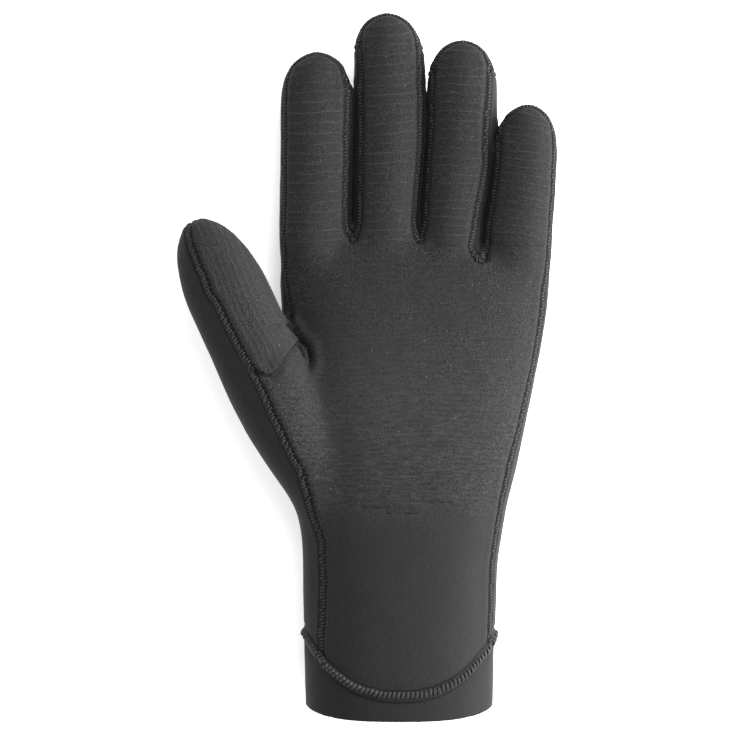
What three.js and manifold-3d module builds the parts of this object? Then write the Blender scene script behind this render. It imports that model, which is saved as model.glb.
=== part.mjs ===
// A left-hand diving glove, sewn from black neoprene foam and lying palm up.
// Lengths are millimetres. +X points to the little finger's side, +Y to the fingertips, +Z out of the
// palm. The glove rests on z = 0. Lengths along Y are measured from the mouth, and lengths along X from
// the middle of the wrist; the last lines then put the origin under the palm.
//
// One closed form gives the outside and a smaller one the hollow for the hand, and their difference is
// the neoprene wall. Each sewn panel is the part of that wall inside a patch: a solid wedge that opens
// from a limb's middle line out to the two seams at the panel's edges.
import * as THREE from "three";
import Module from "manifold-3d";

const wasm = await Module();
wasm.setup();

// Sheet
const WALL = 3; // thickness of the neoprene
const SEAM_GAP = 0.3; // clearance between two panels at a seam
const REST_POINT = 42; // from the end of the cuff to the origin, under the palm

// Cuff and wrist
const CUFF_LENGTH = 63; // from the mouth to where the palm begins to widen
const WRIST_WIDTH = 74;
const WRIST_DEPTH = 46;
const MOUTH_DROP = 3.8; // how much longer the cuff is on the palm side
const CUFF_SEAM_SIDE = 28; // from the mouth to the cuff seam at the two sides
const CUFF_SEAM_LOW = 6.5; // and at the lowest point of its curve
const CUFF_CURVE = 2.8; // how square that curve is

// Palm
const PALM_LENGTH = 115; // from the end of the cuff to the end of the hand's body
const PALM_WIDTH = 103.6;
const PALM_DEPTH = 43;
const PALM_SHIFT = 6.2; // the palm's middle lies this far to the little finger's side of the wrist's
const REST_SINK = 1.6; // how much of the round back the floor flattens
const WEB_DEPTH = 15; // height of the wall in the fork of two fingers
const WEB_HEIGHT = 14; // height of its middle above the floor

// Fingers
const FINGER_LENGTH = 87.2; // of the middle finger, from the fork to its tip
const FINGER_DEPTH = 28; // from the back to the front of a finger at its root
const FINGER_TIP = 17.2; // length of the rounded tip
const FINGER_ROOT = 34; // how far a finger's form runs down into the palm
const FINGER_LIFT = 9; // how much the relaxed fingertips rise
const BACK_SEAM_INSET = 3.4; // from a finger's side to the seam on its back
const FORK_ROUND = 3.4; // radius of the seam's loop in the fork of two fingers
const FOURCHETTE_STOP = 13; // from a fingertip to the end of the strip between two fingers

// Thumb
const THUMB_LENGTH = 122; // from its root in the heel of the hand to its tip
const THUMB_ANGLE = 25.2; // degrees between the thumb and the fingers
const THUMB_WIDTH = 32;
const THUMB_DEPTH = 28;
const THUMB_TIP = 34; // length of the rounded tip
const THUMB_ROOT_SIDE = -0.3151; // the root's distance from the palm's middle, as a share of its width
const THUMB_ROOT_UP = 0.0889; // and from the end of the cuff, as a share of the palm's length
const THUMB_TIP_HEIGHT = 30; // of the middle of the tip above the floor
const THUMB_ROOT_HEIGHT = 23;
const THUMB_PANEL_AT = 0.4877; // share of its length where the seam crosses its front, at its middle
const THUMB_PANEL_SLANT = 11; // how much farther up that seam ends on the side of the fingers

// Fineness
const BODY_SIDES = 28;
const LIMB_SIDES = 16;
const TIP_STEPS = 4;

// Rows run from the mouth to the fingers. Columns: share of the length, left and right edge as a share
// of the width, height as a share of the depth, and how far the left and right seams of the palm lie
// inside the edges, as a share of the width.
const CUFF_ROWS = [
  { at: 0.0, left: -0.488, right: 0.478, height: 1.02, seamLeft: 0.1, seamRight: 0.04 },
  { at: 0.3, left: -0.494, right: 0.482, height: 1.0, seamLeft: 0.1, seamRight: 0.04 },
  { at: 0.62, left: -0.498, right: 0.494, height: 0.96, seamLeft: 0.11, seamRight: 0.04 },
  { at: 0.86, left: -0.499, right: 0.499, height: 0.93, seamLeft: 0.115, seamRight: 0.042 },
];
const PALM_ROWS = [
  { at: 0.0, left: -0.42, right: 0.311, height: 1.0, seamLeft: 0.08, seamRight: 0.03 },
  { at: 0.1, left: -0.441, right: 0.33, height: 1.0, seamLeft: 0.07, seamRight: 0.034 },
  { at: 0.25, left: -0.46, right: 0.372, height: 1.01, seamLeft: 0.05, seamRight: 0.041 },
  { at: 0.42, left: -0.47, right: 0.414, height: 1.0, seamLeft: 0.05, seamRight: 0.03 },
  { at: 0.6, left: -0.482, right: 0.453, height: 0.93, seamLeft: 0.05, seamRight: 0.026 },
  { at: 0.78, left: -0.5, right: 0.488, height: 0.82, seamLeft: 0.03, seamRight: 0.03 },
  { at: 0.86, left: -0.506, right: 0.492, height: 0.75, seamLeft: 0.025, seamRight: 0.03 },
  { at: 0.92, left: -0.49, right: 0.43, height: 0.66, seamLeft: 0.025, seamRight: 0.03 },
  { at: 0.97, left: -0.455, right: 0.25, height: 0.53, seamLeft: 0.025, seamRight: 0.03 },
  { at: 1.0, left: -0.42, right: 0.17, height: WEB_DEPTH / PALM_DEPTH, seamLeft: 0.025, seamRight: 0.03 },
];
const BODY_WAIST = 0.46; // share of the height at which a section is widest
const BODY_FULLNESS = 2.4; // exponent of its outline: 2 is an ellipse, more is squarer
const LIMB_FULLNESS = 2.2;

// Columns: the loop of the seam in the fork beside the finger, as a share of the palm's length; the
// finger's length as a share of the middle finger's; its middle line at fork, belly and tip, from the
// palm's middle, and its width at fork and belly, as shares of the palm's width; how far its two seams
// lie inside its sides, as shares of the palm's width.
const FINGER_ROWS = [
  { fork: 0.974, length: 0.83, x: [-0.3726, -0.3668, -0.3629], width: [0.2683, 0.2664], seams: [0.022, 0.029] },
  { fork: 0.974, length: 1.0, x: [-0.111, -0.0936, -0.1081], width: [0.2394, 0.2635], seams: [0.029, 0.026] },
  { fork: 0.974, length: 0.883, x: [0.1216, 0.1699, 0.168], width: [0.2181, 0.2568], seams: [0.02, 0.0376] },
  { fork: 0.9087, length: 0.689, x: [0.3678, 0.4025, 0.4054], width: [0.2625, 0.2336], seams: [0.022, 0.0193] },
];
const FORK_NAMES = ["index_middle", "middle_ring", "ring_little"];
const BELLY_AT = 0.6; // share of a finger, from fork to tip, where its second width is
const TIP_SLIMMING = 0.8; // depth there as a share of the depth at the root
const ROOT_SLIMMING = 0.5; // share of its size that a finger's form starts with, down in the palm
const ROOT_GATHER = 0.82; // share of its distance from the palm's middle that it starts at

// Rows run from the root to the start of the tip. Columns: share of the length, width and depth as
// shares of the thumb's, and the directions of its two seams, in degrees from straight up.
const THUMB_ROWS = [
  { at: 0.0, width: 0.71, depth: 1.0, seamLeft: -4, seamRight: 100 },
  { at: 0.1, width: 0.74, depth: 1.1, seamLeft: -10, seamRight: 100 },
  { at: 0.2, width: 0.87, depth: 1.2, seamLeft: -12, seamRight: 100 },
  { at: 0.31, width: 1.0, depth: 1.22, seamLeft: -11, seamRight: 100 },
  { at: 0.42, width: 1.04, depth: 1.16, seamLeft: -10, seamRight: 100 },
  { at: 0.52, width: 1.02, depth: 1.06, seamLeft: -11, seamRight: 100 },
  { at: 0.62, width: 0.985, depth: 1.0, seamLeft: -14, seamRight: 100 },
  { at: 0.7, width: 0.985, depth: 0.98, seamLeft: -20, seamRight: 100 },
  { at: 0.89, width: 0.985, depth: 0.98, seamLeft: -22, seamRight: 96 },
  { at: 0.96, width: 0.985, depth: 0.98, seamLeft: -38, seamRight: 94 },
  { at: 1.05, width: 0.985, depth: 0.98, seamLeft: -60, seamRight: 92 },
];
const THUMB_SHOULDER = 0.7; // the last row before the tip rounds off

const mix = THREE.MathUtils.lerp;
const clamp = THREE.MathUtils.clamp;
const ease = THREE.MathUtils.smoothstep;
const radians = THREE.MathUtils.degToRad;
const handLength = CUFF_LENGTH + PALM_LENGTH;
const thumbPanelStart = THUMB_PANEL_AT * THUMB_LENGTH;
const FINGERS = FINGER_ROWS.map((row) => {
  const fork = CUFF_LENGTH + row.fork * PALM_LENGTH;
  return {
    fork,
    tip: fork + row.length * FINGER_LENGTH,
    x: row.x.map((share) => PALM_SHIFT + share * PALM_WIDTH),
    width: row.width.map((share) => share * PALM_WIDTH),
    seams: row.seams.map((share) => share * PALM_WIDTH),
  };
});
const tall = 3 * PALM_DEPTH; // beyond the glove in height
const X = new THREE.Vector3(1, 0, 0);
const Y = new THREE.Vector3(0, 1, 0);
const Z = new THREE.Vector3(0, 0, 1);

// A solid from a list of corners and triangles, turned face out.
function solidOf(positions, triangles) {
  const build = (order) => new wasm.Manifold(new wasm.Mesh({
    numProp: 3,
    vertProperties: new Float32Array(positions),
    triVerts: new Uint32Array(order),
  }));
  const made = build(triangles);
  return made.volume() > 0 ? made : build([...triangles].reverse());
}

// A closed solid through rings of equally many points, capped at both ends or closed with a last ring
// of a single point.
function loft(rings) {
  const positions = [];
  const starts = [];
  const triangles = [];
  for (const ring of rings) {
    starts.push(positions.length / 3);
    for (const p of ring) positions.push(p.x, p.y, p.z);
  }
  for (let k = 1; k < rings.length; k++) {
    const sides = rings[k - 1].length;
    for (let i = 0; i < sides; i++) {
      const j = (i + 1) % sides;
      const [a, b] = [starts[k - 1] + i, starts[k - 1] + j];
      if (rings[k].length === 1) triangles.push(a, b, starts[k]);
      else triangles.push(a, b, starts[k] + i, b, starts[k] + j, starts[k] + i);
    }
  }
  for (const [k, flip] of [[0, true], [rings.length - 1, false]]) {
    if (rings[k].length === 1) continue;
    const flat = rings[k].map((p) => new THREE.Vector2(p.x, p.z));
    const slanted = Math.abs(THREE.ShapeUtils.area(flat)) < 1;
    const seen = slanted ? rings[k].map((p) => new THREE.Vector2(p.y, p.z)) : flat;
    for (const [a, b, c] of THREE.ShapeUtils.triangulateShape(seen, [])) {
      const cap = [a, b, c].map((n) => starts[k] + n);
      const forwards = THREE.ShapeUtils.area(seen) > 0;
      triangles.push(...(flip === forwards ? cap.reverse() : cap));
    }
  }
  return solidOf(positions, triangles);
}

// One section's points: widest at the height of its middle, reaching the given lengths up and down.
function outline(middle, across, half, above, below, sides, fullness) {
  const bent = (v) => Math.sign(v) * Math.abs(v) ** (2 / fullness);
  return Array.from({ length: sides }, (_, i) => {
    const angle = (2 * Math.PI * i) / sides;
    const lift = bent(Math.sin(angle)) * (Math.sin(angle) > 0 ? above : below);
    return middle.clone().addScaledVector(across, bent(Math.cos(angle)) * half).addScaledVector(Z, lift);
  });
}

// The value of a column at a share of the length, straight between the rows on either side.
function readRows(rows, column, at) {
  const found = rows.findIndex((row) => row.at >= at);
  const next = found < 0 ? rows.length - 1 : Math.max(1, found);
  const [a, b] = [rows[next - 1], rows[next]];
  return mix(a[column], b[column], clamp((at - a.at) / (b.at - a.at), 0, 1));
}

// Edges, height, middle height and seams of cuff and palm at a distance from the mouth.
function bodyAt(y) {
  const cuffEnd = CUFF_LENGTH * CUFF_ROWS.at(-1).at;
  const column = (name) => {
    const cuff = (at) => WRIST_WIDTH * readRows(CUFF_ROWS, name, at);
    const shift = name === "left" || name === "right" ? PALM_SHIFT : 0;
    const palm = (at) => shift + PALM_WIDTH * readRows(PALM_ROWS, name, at);
    const passed = clamp((y - cuffEnd) / (CUFF_LENGTH - cuffEnd), 0, 1);
    return mix(cuff(y / CUFF_LENGTH), palm((y - CUFF_LENGTH) / PALM_LENGTH), passed);
  };
  const palmShare = clamp((y - CUFF_LENGTH) / PALM_LENGTH, 0, 1);
  const height = y < CUFF_LENGTH
    ? WRIST_DEPTH * readRows(CUFF_ROWS, "height", y / CUFF_LENGTH)
    : PALM_DEPTH * readRows(PALM_ROWS, "height", palmShare);
  const low = height * BODY_WAIST - REST_SINK * (1 - ease(palmShare, 0.5, 0.86));
  const waist = mix(low, WEB_HEIGHT, ease(palmShare, 0.86, 1));
  return {
    left: column("left"),
    right: column("right"),
    seamLeft: column("seamLeft"),
    seamRight: column("seamRight"),
    above: height * (1 - BODY_WAIST),
    below: height * BODY_WAIST,
    palmShare,
    waist,
  };
}

// Cuff and palm. With an inset it is the hollow: smaller all round, and open past the mouth.
function bodySolid(inset) {
  const stations = [
    ...CUFF_ROWS.map((row) => row.at * CUFF_LENGTH),
    ...PALM_ROWS.map((row) => CUFF_LENGTH + row.at * PALM_LENGTH),
  ];
  const rings = stations.map((y) => {
    const body = bodyAt(y);
    const middle = new THREE.Vector3((body.left + body.right) / 2, y - inset * body.palmShare, body.waist);
    const [half, above, below] = [(body.right - body.left) / 2, body.above, body.below].map((v) => v - inset);
    return outline(middle, X, half, above, below, BODY_SIDES, BODY_FULLNESS);
  });
  for (const p of rings[0]) p.y -= (MOUTH_DROP * p.z) / WRIST_DEPTH;
  if (inset > 0) rings.unshift(rings[0].map((p) => p.clone().setY(p.y - 10 * WALL)));
  return loft(rings);
}

// A finger's middle line, half width and half depth at a distance from the mouth.
function fingerAt(finger, y) {
  const share = (y - finger.fork) / (finger.tip - finger.fork);
  const toBelly = ease(share, 0, BELLY_AT);
  const [atFork, atBelly, atTip] = finger.x;
  const outward = clamp(share, 0, 1);
  const sunk = clamp((finger.fork - y) / FINGER_ROOT, 0, 1) ** 2;
  const slim = mix(1, ROOT_SLIMMING, sunk);
  const x = mix(mix(atFork, atBelly, toBelly), atTip, ease(share, BELLY_AT, 1)) * mix(1, ROOT_GATHER, sunk);
  const z = (FINGER_DEPTH / 2) * mix(1, 0.9, outward) + FINGER_LIFT * outward ** 2;
  return {
    middle: new THREE.Vector3(x, y, z),
    half: (mix(finger.width[0], finger.width[1], toBelly) / 2) * slim,
    deep: (FINGER_DEPTH / 2) * mix(1, TIP_SLIMMING, outward) * slim,
  };
}

// Sections of a rounded tip: how far back from its end, and the share of the full section there.
const tipSections = (length) => Array.from({ length: TIP_STEPS + 1 }, (_, i) => {
  const angle = radians((90 * i) / (TIP_STEPS + 1));
  return { back: length * (1 - Math.sin(angle)), share: Math.cos(angle) };
});

function fingerSolid(finger, inset) {
  const start = finger.fork - FINGER_ROOT;
  const shoulder = finger.tip - FINGER_TIP;
  const ring = (y, share, shift) => {
    const { middle, half, deep } = fingerAt(finger, y);
    const [wide, high] = [(half - inset) * share, (deep - inset) * share];
    middle.y -= shift;
    return outline(middle, X, wide, high, high, LIMB_SIDES, LIMB_FULLNESS);
  };
  const rings = [0, 0.3, 0.45, 0.6, 0.8].map((t) => ring(mix(start, shoulder, t), 1, 0));
  for (const { back, share } of tipSections(FINGER_TIP)) {
    rings.push(ring(finger.tip - back, share, inset * (1 - back / FINGER_TIP)));
  }
  const end = fingerAt(finger, finger.tip).middle;
  return loft([...rings, [end.setY(finger.tip - inset)]]);
}

// The thumb's own directions: along it, and across it towards the fingers.
const lean = radians(THUMB_ANGLE);
const alongThumb = new THREE.Vector3(-Math.sin(lean), Math.cos(lean), 0);
const acrossThumb = new THREE.Vector3(Math.cos(lean), Math.sin(lean), 0);

// The thumb's middle line, half width and half depth at a share of its length from the root.
function thumbAt(at) {
  const rootX = PALM_SHIFT + THUMB_ROOT_SIDE * PALM_WIDTH;
  const root = new THREE.Vector3(rootX, CUFF_LENGTH + THUMB_ROOT_UP * PALM_LENGTH, 0);
  const height = mix(THUMB_ROOT_HEIGHT, THUMB_TIP_HEIGHT, ease(at, 0, THUMB_SHOULDER));
  return {
    middle: root.addScaledVector(alongThumb, THUMB_LENGTH * at).addScaledVector(Z, height),
    half: (THUMB_WIDTH / 2) * readRows(THUMB_ROWS, "width", at),
    deep: (THUMB_DEPTH / 2) * readRows(THUMB_ROWS, "depth", at),
  };
}

function thumbSolid(inset) {
  const ring = (at, share, shift) => {
    const { middle, half, deep } = thumbAt(at);
    const [wide, high] = [(half - inset) * share, (deep - inset) * share];
    middle.addScaledVector(alongThumb, -shift);
    return outline(middle, acrossThumb, wide, high, high, LIMB_SIDES, LIMB_FULLNESS);
  };
  const rings = THUMB_ROWS.filter((row) => row.at < THUMB_SHOULDER).map((row) => ring(row.at, 1, 0));
  for (const { back, share } of tipSections(THUMB_TIP)) {
    rings.push(ring(1 - back / THUMB_LENGTH, share, inset * (1 - back / THUMB_TIP)));
  }
  return loft([...rings, [thumbAt(1).middle.addScaledVector(alongThumb, -inset)]]);
}

// All limbs together, cut level where they rest.
function gloveForm(inset) {
  let form = bodySolid(inset).add(thumbSolid(inset));
  for (const finger of FINGERS) form = form.add(fingerSolid(finger, inset));
  return form.trimByPlane([0, 0, 1], inset);
}

// One section of a patch, seen along the limb: from beside the middle out past two points on the skin,
// then straight up, or down for a patch on the back. grow moves its sides outwards.
function patchSection(middle, across, leftSide, rightSide, grow, up = 1) {
  const out = 1 + grow; // how far the section reaches past the skin before it turns up or down
  const slot = 1; // half the width of its narrow end
  const place = (u, v) => middle.clone().addScaledVector(across, u).addScaledVector(Z, v);
  const side = ([u, v], sign) => {
    const direction = new THREE.Vector2(u - sign * slot, v).normalize();
    const normal = new THREE.Vector2(direction.y, -direction.x).multiplyScalar(sign * up * grow);
    const far = new THREE.Vector2(u, v).addScaledVector(direction, out).add(normal);
    return { near: [sign * slot + normal.x, normal.y], far: [far.x, far.y] };
  };
  const [left, right] = [side(leftSide, -1), side(rightSide, 1)];
  const points = [left.near, right.near, right.far, [right.far[0], up * tall], [left.far[0], up * tall], left.far];
  return points.map(([u, v]) => place(u, v));
}

// Where a seam an inset away from a limb's side lies on its section, from the section's middle.
function seamOn(sign, half, deep, inset, fullness) {
  const u = Math.max(0, half - inset);
  return [sign * u, deep * (1 - (u / half) ** fullness) ** (1 / fullness)];
}

// A patch through its sections, with both ends moved out by grow along the limb.
function patchThrough(rings, along, grow) {
  if (grow <= 0) return loft(rings);
  const moved = (ring, length) => ring.map((p) => p.clone().addScaledVector(along, length));
  return loft([moved(rings[0], -grow), ...rings, moved(rings.at(-1), grow)]);
}

// The patch of one finger, over its palm side or, with up = -1, its back.
function fingerPatch(finger, grow, up = 1) {
  const start = finger.fork - 0.8 * FINGER_ROOT;
  const shoulder = finger.tip - FINGER_TIP;
  const stations = [start, finger.fork, mix(finger.fork, shoulder, 0.5), shoulder, finger.tip - FINGER_TIP / 3];
  const rings = [...stations, finger.tip + 2].map((y) => {
    const { middle, half, deep } = fingerAt(finger, y);
    const fade = clamp((finger.tip - y) / FINGER_TIP, 0, 1);
    const wide = half * Math.sqrt(Math.max(0.01, 1 - (1 - fade) ** 2));
    const high = (deep * wide) / half;
    const insets = up > 0 ? finger.seams : [BACK_SEAM_INSET, BACK_SEAM_INSET];
    const [left, right] = insets.map((inset, i) => seamOn(i ? 1 : -1, wide, up * high, inset * fade, LIMB_FULLNESS));
    return patchSection(middle, X, left, right, grow, up);
  });
  return patchThrough(rings, Y, grow);
}

// The patch of cuff and palm, up to the nearest fork.
function bodyPatch(grow) {
  const end = Math.min(...FINGERS.map((finger) => finger.fork));
  const stations = [-WRIST_DEPTH, 0.45 * CUFF_LENGTH, 0.86 * CUFF_LENGTH, CUFF_LENGTH];
  for (const at of [0.1, 0.25, 0.42, 0.6, 0.78]) stations.push(CUFF_LENGTH + at * PALM_LENGTH);
  const rings = [...stations, end].map((y) => {
    const body = bodyAt(y);
    const half = (body.right - body.left) / 2;
    const middle = new THREE.Vector3((body.left + body.right) / 2, y, body.waist);
    const left = seamOn(-1, half, body.above, body.seamLeft, BODY_FULLNESS);
    const right = seamOn(1, half, body.above, body.seamRight, BODY_FULLNESS);
    return patchSection(middle, X, left, right, grow);
  });
  return patchThrough(rings, Y, grow);
}

// The patch of the thumb's front between two distances along it. The slant moves its ends farther up on
// the side of the fingers.
function thumbPatch(from, to, grow) {
  const clear = 0.7 * THUMB_PANEL_SLANT;
  const rows = THUMB_ROWS.map((row) => row.at * THUMB_LENGTH);
  const between = rows.filter((distance) => distance > from + clear && distance < to - clear);
  const rings = [from, ...between, to].map((distance) => {
    const at = distance / THUMB_LENGTH;
    const { middle, half, deep } = thumbAt(at);
    const sides = ["seamLeft", "seamRight"].map((name) => {
      const turn = radians(readRows(THUMB_ROWS, name, at));
      return [half * Math.sin(turn), deep * Math.cos(turn)];
    });
    const ring = patchSection(middle, acrossThumb, ...sides, grow);
    const atSeam = Math.abs(distance - thumbPanelStart) < 3;
    for (const p of ring) {
      const across = p.clone().sub(middle).dot(acrossThumb) / THUMB_WIDTH;
      if (atSeam) p.addScaledVector(alongThumb, THUMB_PANEL_SLANT * across);
    }
    return ring;
  });
  return patchThrough(rings, alongThumb, grow);
}

// An upright block over a plan outline.
function block(corners) {
  const outlinePoints = corners.map(([x, y]) => new THREE.Vector2(x, y));
  const forwards = THREE.ShapeUtils.area(outlinePoints) > 0 ? outlinePoints : outlinePoints.reverse();
  const count = forwards.length;
  const positions = [-tall, tall].flatMap((z) => forwards.flatMap((p) => [p.x, p.y, z]));
  const triangles = [];
  for (const [a, b, c] of THREE.ShapeUtils.triangulateShape(forwards, [])) {
    triangles.push(c, b, a, a + count, b + count, c + count);
  }
  for (let i = 0; i < count; i++) {
    const j = (i + 1) % count;
    triangles.push(i, j, i + count, j, j + count, i + count);
  }
  return solidOf(positions, triangles);
}

// The seam's loop in a fork: level, then a half circle down and up again, then level.
function forkLoop(i, grow) {
  const [a, b] = [FINGERS[i], FINGERS[i + 1]];
  const bottom = Math.min(a.fork, b.fork);
  const [fa, fb] = [a, b].map((finger) => fingerAt(finger, bottom + FORK_ROUND));
  const x = (fa.middle.x + fa.half + fb.middle.x - fb.half) / 2;
  const [radius, level] = [FORK_ROUND + grow, bottom + FORK_ROUND - grow];
  const arc = [210, 240, 270, 300, 330].map(radians).map((angle) => {
    return [x + radius * Math.cos(angle), bottom + FORK_ROUND + radius * Math.sin(angle)];
  });
  return [[x - radius, level], ...arc, [x + radius, level]];
}

// The block over a fork: from one finger's middle line to the next, up to where the strip ends. It
// stops short on the shorter finger and passes clear of the longer one's side.
function forkBlock(i, grow) {
  const [a, b] = [FINGERS[i], FINGERS[i + 1]];
  const loop = forkLoop(i, grow);
  const start = loop[0][1];
  const [endA, endB] = [a.tip, b.tip].map((tip) => tip - FOURCHETTE_STOP + grow);
  const longer = a.tip > b.tip ? a : b;
  const beside = fingerAt(longer, Math.min(endA, endB));
  const clear = beside.half + SEAM_GAP + grow;
  const between = beside.middle.x + (longer === a ? clear : -clear);
  const left = Math.min(...a.x) - grow;
  const right = Math.max(...b.x) + grow;
  const ends = [[right, endB], [between, endB], [between, endA], [left, endA]];
  return block([[left, start], ...loop, [right, start], ...ends]);
}

// What the cuff takes: all of the wall on the mouth's side of a curve.
function cuffBlock(grow) {
  const half = WRIST_WIDTH / 2;
  const rise = CUFF_SEAM_SIDE - CUFF_SEAM_LOW;
  const curve = Array.from({ length: 17 }, (_, i) => {
    const across = mix(-1, 1, i / 16);
    const steep = (Math.sign(across) * rise * CUFF_CURVE * Math.abs(across) ** (CUFF_CURVE - 1)) / half;
    const off = new THREE.Vector2(-steep, 1).normalize().multiplyScalar(grow);
    return [across * half + off.x, CUFF_SEAM_LOW + rise * Math.abs(across) ** CUFF_CURVE + off.y];
  });
  const far = 2 * WRIST_WIDTH;
  const side = CUFF_SEAM_SIDE + grow;
  return block([[-far, -far], [far, -far], [far, side], ...curve.reverse(), [-far, side]]);
}

// What the palm panel takes: the patches of body, fingers and thumb root, and a block down to each fork.
function palmPatch(grow) {
  const rootEnd = thumbPanelStart - SEAM_GAP;
  let patch = bodyPatch(grow).add(thumbPatch(0, rootEnd, grow));
  for (const finger of FINGERS) patch = patch.add(fingerPatch(finger, grow));
  const palmEnd = handLength - FINGER_ROOT;
  FORK_NAMES.forEach((_, i) => {
    const [a, b] = [FINGERS[i], FINGERS[i + 1]];
    const loop = forkLoop(i, -grow);
    const end = loop[0][1];
    const over = block([[a.x[0], palmEnd], [b.x[0], palmEnd], [b.x[0], end], ...loop.reverse(), [a.x[0], end]]);
    patch = patch.add(over.trimByPlane([0, 0, 1], WEB_HEIGHT - grow));
  });
  return patch;
}

const largest = (solid) => solid.decompose().sort((a, b) => b.volume() - a.volume())[0];

const wall = gloveForm(0).subtract(gloveForm(WALL));
const thumbPanel = thumbPatch(thumbPanelStart, 1.05 * THUMB_LENGTH, 0);
const thumbCut = thumbPatch(thumbPanelStart, 1.05 * THUMB_LENGTH, SEAM_GAP);
const cuffCut = cuffBlock(SEAM_GAP);
const palmCut = palmPatch(SEAM_GAP);
const fingerBacks = (grow) => FINGERS.map((f) => fingerPatch(f, grow, -1)).reduce((a, b) => a.add(b));

const fourchettes = FORK_NAMES.map((name, i) => ({
  name: `fourchette_${name}`,
  solid: wall.intersect(forkBlock(i, 0)).subtract(fingerBacks(0)).subtract(palmCut),
}));
let back = wall.subtract(palmCut).subtract(thumbCut).subtract(cuffCut);
FORK_NAMES.forEach((_, i) => {
  back = back.subtract(forkBlock(i, SEAM_GAP).subtract(fingerBacks(-SEAM_GAP)));
});

const colours = { palm: 0x45474a, back: 0x303133, thumb: 0x3c3d40, strip: 0x37383a, cuff: 0x2b2c2e };
const neoprene = (color, roughness) => new THREE.MeshStandardMaterial({ color, roughness, metalness: 0 });
const pieces = [
  { name: "palm_panel", solid: wall.intersect(palmPatch(0)).subtract(thumbCut).subtract(cuffCut), paint: neoprene(colours.palm, 0.85) },
  { name: "back_panel", solid: back, paint: neoprene(colours.back, 0.9) },
  { name: "thumb_panel", solid: wall.intersect(thumbPanel), paint: neoprene(colours.thumb, 0.85) },
  ...fourchettes.map((piece) => ({ ...piece, paint: neoprene(colours.strip, 0.9) })),
  { name: "cuff_band", solid: wall.intersect(cuffBlock(0)), paint: neoprene(colours.cuff, 0.92) },
];

const glove = new THREE.Group();
for (const { name, solid, paint } of pieces) {
  const { vertProperties, triVerts } = largest(solid).translate([0, -CUFF_LENGTH - REST_POINT, 0]).getMesh();
  const geometry = new THREE.BufferGeometry();
  geometry.setAttribute("position", new THREE.BufferAttribute(new Float32Array(vertProperties), 3));
  geometry.setIndex(new THREE.BufferAttribute(new Uint32Array(triVerts), 1));
  geometry.computeVertexNormals();
  const mesh = new THREE.Mesh(geometry, paint);
  mesh.name = name;
  glove.add(mesh);
}

export default glove;
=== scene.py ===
# %% [markdown]
# A diving glove in Blender
#
# The glove is a left-hand one, sewn from black neoprene foam with a thin jersey on both faces, and it
# lies palm up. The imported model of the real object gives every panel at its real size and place, but as
# flat facets. This lesson turns those panels into soft cloth, sews them together and dresses them.
# All lengths are metres, so the millimetres of the real thing are multiplied by MM.

import math

import bpy
import numpy as np
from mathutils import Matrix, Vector, noise
from mathutils.bvhtree import BVHTree
from mathutils.kdtree import KDTree


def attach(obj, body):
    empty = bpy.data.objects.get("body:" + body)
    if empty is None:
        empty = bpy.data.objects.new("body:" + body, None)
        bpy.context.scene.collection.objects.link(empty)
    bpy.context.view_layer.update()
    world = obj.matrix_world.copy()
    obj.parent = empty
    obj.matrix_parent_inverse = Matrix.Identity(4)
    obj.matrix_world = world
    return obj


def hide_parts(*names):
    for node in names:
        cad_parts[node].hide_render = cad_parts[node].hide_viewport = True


MM = 0.001
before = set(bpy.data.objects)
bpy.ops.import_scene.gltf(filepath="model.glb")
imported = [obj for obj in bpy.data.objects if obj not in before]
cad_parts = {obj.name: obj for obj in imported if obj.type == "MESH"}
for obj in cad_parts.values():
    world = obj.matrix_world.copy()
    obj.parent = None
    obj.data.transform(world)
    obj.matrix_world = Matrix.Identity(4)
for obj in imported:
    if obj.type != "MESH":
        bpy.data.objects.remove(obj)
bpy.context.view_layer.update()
panels = list(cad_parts)
print("panels of the measured glove:", ", ".join(panels))

# %% [markdown]
# The viewpoint. The photograph looks straight down on the palm from about a metre away, so the camera
# hangs over the glove and keeps the fingers pointing up in the picture. A long lens at that distance
# shows almost no perspective, as a product picture does.

# %% Hang the camera over the palm
VIEW_HEIGHT = 1000 * MM
VIEW_CENTRE = (-12.35 * MM, 22.71 * MM)
VIEW_LENS = 126.3
camera_data = bpy.data.cameras.new("camera_over_the_palm")
camera_data.lens = VIEW_LENS
camera_data.sensor_width = 36
camera = bpy.data.objects.new("camera_over_the_palm", camera_data)
camera.location = (*VIEW_CENTRE, VIEW_HEIGHT)
bpy.context.scene.collection.objects.link(camera)
bpy.context.scene.camera = camera

# %% [markdown]
# The room is a white table under a white sky. Nearly all the light on a black glove comes from broad
# white surfaces, so the sky is even, and the table glows a little to keep its white under the glove. A
# soft panel low at the right gives the palm its paler right half and a shine along the right-hand edges,
# and a weaker one above lights the fingertips.

# %% White table, even sky and two soft panels of light
TABLE_WHITE = (0.93, 0.93, 0.93)
TABLE_ROUGHNESS = 0.9
TABLE_GLOW = 0.35
PANEL_SIZE = (0.9, 0.6)


def plain_material(name, colour, roughness):
    material = bpy.data.materials.new(name)
    material.use_nodes = True
    shader = material.node_tree.nodes["Principled BSDF"]
    shader.inputs["Base Color"].default_value = (*colour, 1)
    shader.inputs["Roughness"].default_value = roughness
    return material


def deselect_all():
    if bpy.context.mode != "OBJECT":
        bpy.ops.object.mode_set(mode="OBJECT")
    bpy.ops.object.select_all(action="DESELECT")


deselect_all()
bpy.ops.mesh.primitive_plane_add(size=6)
table = bpy.context.object
table.name = "white_table"
table_white = plain_material("white_table", TABLE_WHITE, TABLE_ROUGHNESS)
table_shader = table_white.node_tree.nodes["Principled BSDF"]
# Painted light: the table glows though it is no lamp. The glow hides the glove's shadow on it and lights
# the glove a little from below.
table_shader.inputs["Emission Color"].default_value = (1, 1, 1, 1)
table_shader.inputs["Emission Strength"].default_value = TABLE_GLOW
table.data.materials.append(table_white)

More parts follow.
